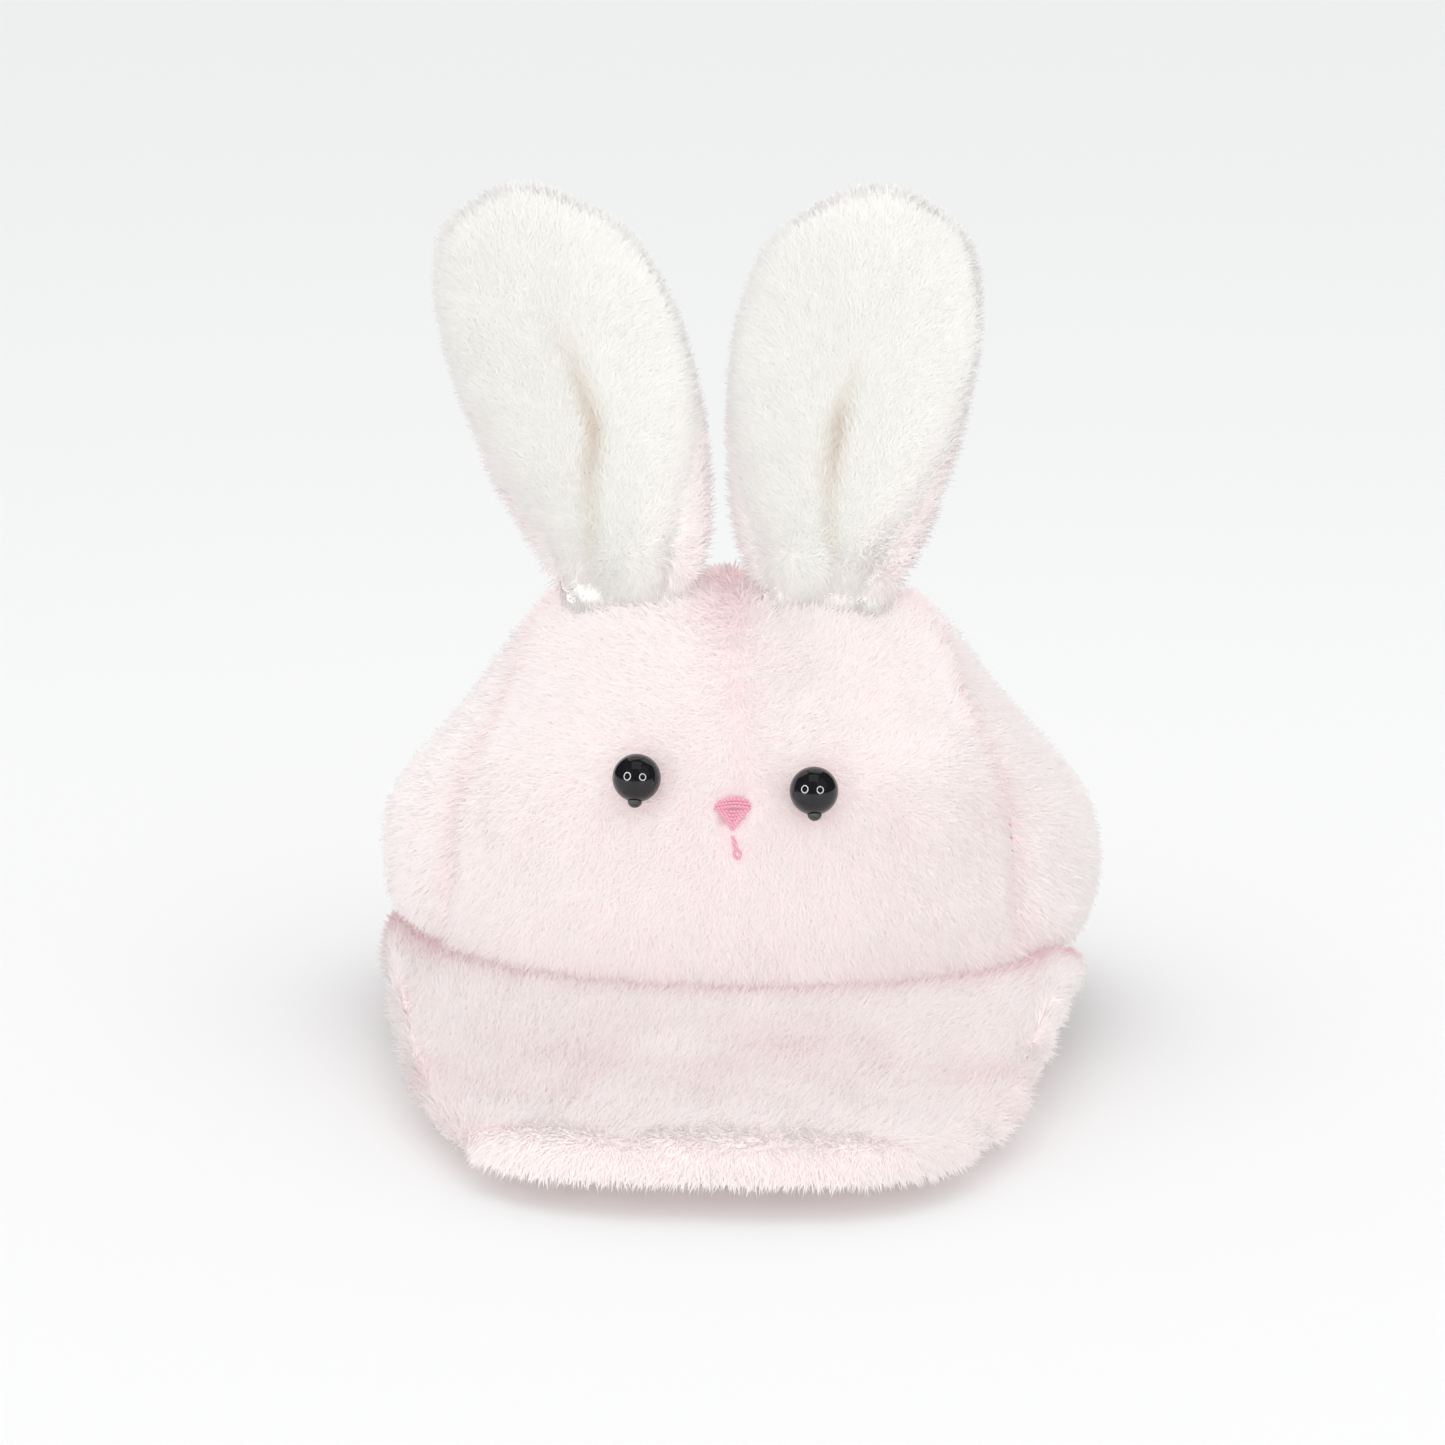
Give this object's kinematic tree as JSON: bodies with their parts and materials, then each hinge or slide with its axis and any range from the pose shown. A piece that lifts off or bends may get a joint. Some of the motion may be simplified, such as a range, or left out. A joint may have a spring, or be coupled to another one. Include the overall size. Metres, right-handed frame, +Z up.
{
  "type": "plush bunny cap",
  "caption": "Small plush cap with a padded visor, two stuffed rabbit ears, bead eyes and an embroidered nose, hollow inside for the head.",
  "frame": {"origin": "middle of the cap's outline on the surface that it lies on", "axes": "+Z up; the face looks along -Y; +X is to the right seen from the front"},
  "size_m": [0.1257, 0.16, 0.1483],
  "materials": {
    "pink_plush": "short-pile plush",
    "white_plush": "short-pile plush",
    "foam": "soft foam sheet",
    "lining": "plain-woven cotton",
    "facing": "plain-woven cotton tape",
    "elastic": "braided elastic",
    "filling": "loose polyester fibre",
    "bead": "polished",
    "black_thread": "sewing thread",
    "pink_floss": "stranded embroidery thread"
  },
  "bodies": {
    "crown": {"crown_front": "pink_plush", "crown_side_left": "pink_plush", "crown_side_right": "pink_plush", "front_stiffener": "foam", "lining_front": "lining", "lining_side_left": "lining", "lining_side_right": "lining", "rim_band": "facing", "rim_elastic": "elastic", "eye_left": "bead", "eye_right": "bead", "eye_thread_left": "black_thread", "eye_thread_right": "black_thread", "nose_stitches": "pink_floss", "mouth_stitches": "pink_floss"},
    "visor": {"visor_top": "pink_plush", "visor_bottom": "pink_plush", "visor_insert": "foam"},
    "ear_left": {"ear_front_left": "white_plush", "ear_back_left": "pink_plush", "ear_filling_left": "filling"},
    "ear_right": {"ear_front_right": "white_plush", "ear_back_right": "pink_plush", "ear_filling_right": "filling"}
  },
  "joints": [
    {"name": "ear_left_flop", "type": "hinge", "parent": "crown", "child": "ear_left", "pos_m": [-0.018, 0.002, 0.0837], "axis": [1, 0, 0], "range_deg": [-45, 65]},
    {"name": "ear_right_flop", "type": "hinge", "parent": "crown", "child": "ear_right", "pos_m": [0.015, 0.002, 0.0837], "axis": [1, 0, 0], "range_deg": [-45, 65]},
    {"name": "visor_flex", "type": "hinge", "parent": "crown", "child": "visor", "pos_m": [0, -0.0301, 0.019], "axis": [-1, 0, 0], "range_deg": [-4, 15]}
  ]
}
